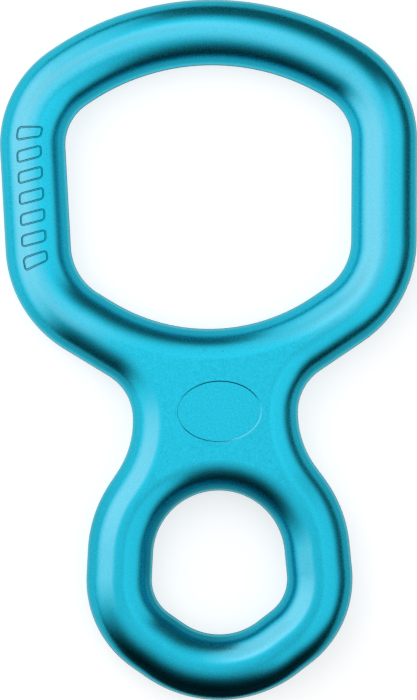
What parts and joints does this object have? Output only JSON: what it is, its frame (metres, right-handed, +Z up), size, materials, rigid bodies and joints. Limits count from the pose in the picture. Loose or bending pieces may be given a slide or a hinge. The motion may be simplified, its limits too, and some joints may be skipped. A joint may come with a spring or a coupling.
{
  "type": "figure eight descender",
  "caption": "One-piece forged figure eight descender: a round bar forms a large rope eye and a small carabiner eye with a flat web between them, to slow a rope when abseiling or belaying.",
  "frame": {"origin": "on the underside (z = 0), under the middle of the overall length and width, with the device lying flat", "axes": "+Y from the small carabiner eye towards the large rope eye, +Z up through the thickness, +X to the right in the face view"},
  "size_m": [0.0714, 0.12, 0.011],
  "materials": {
    "anodised_aluminium": "turquoise anodising, satin on the round bars and finely grained on the flat web"
  },
  "bodies": {
    "root": {"forged_body": "anodised_aluminium"}
  },
  "joints": []
}
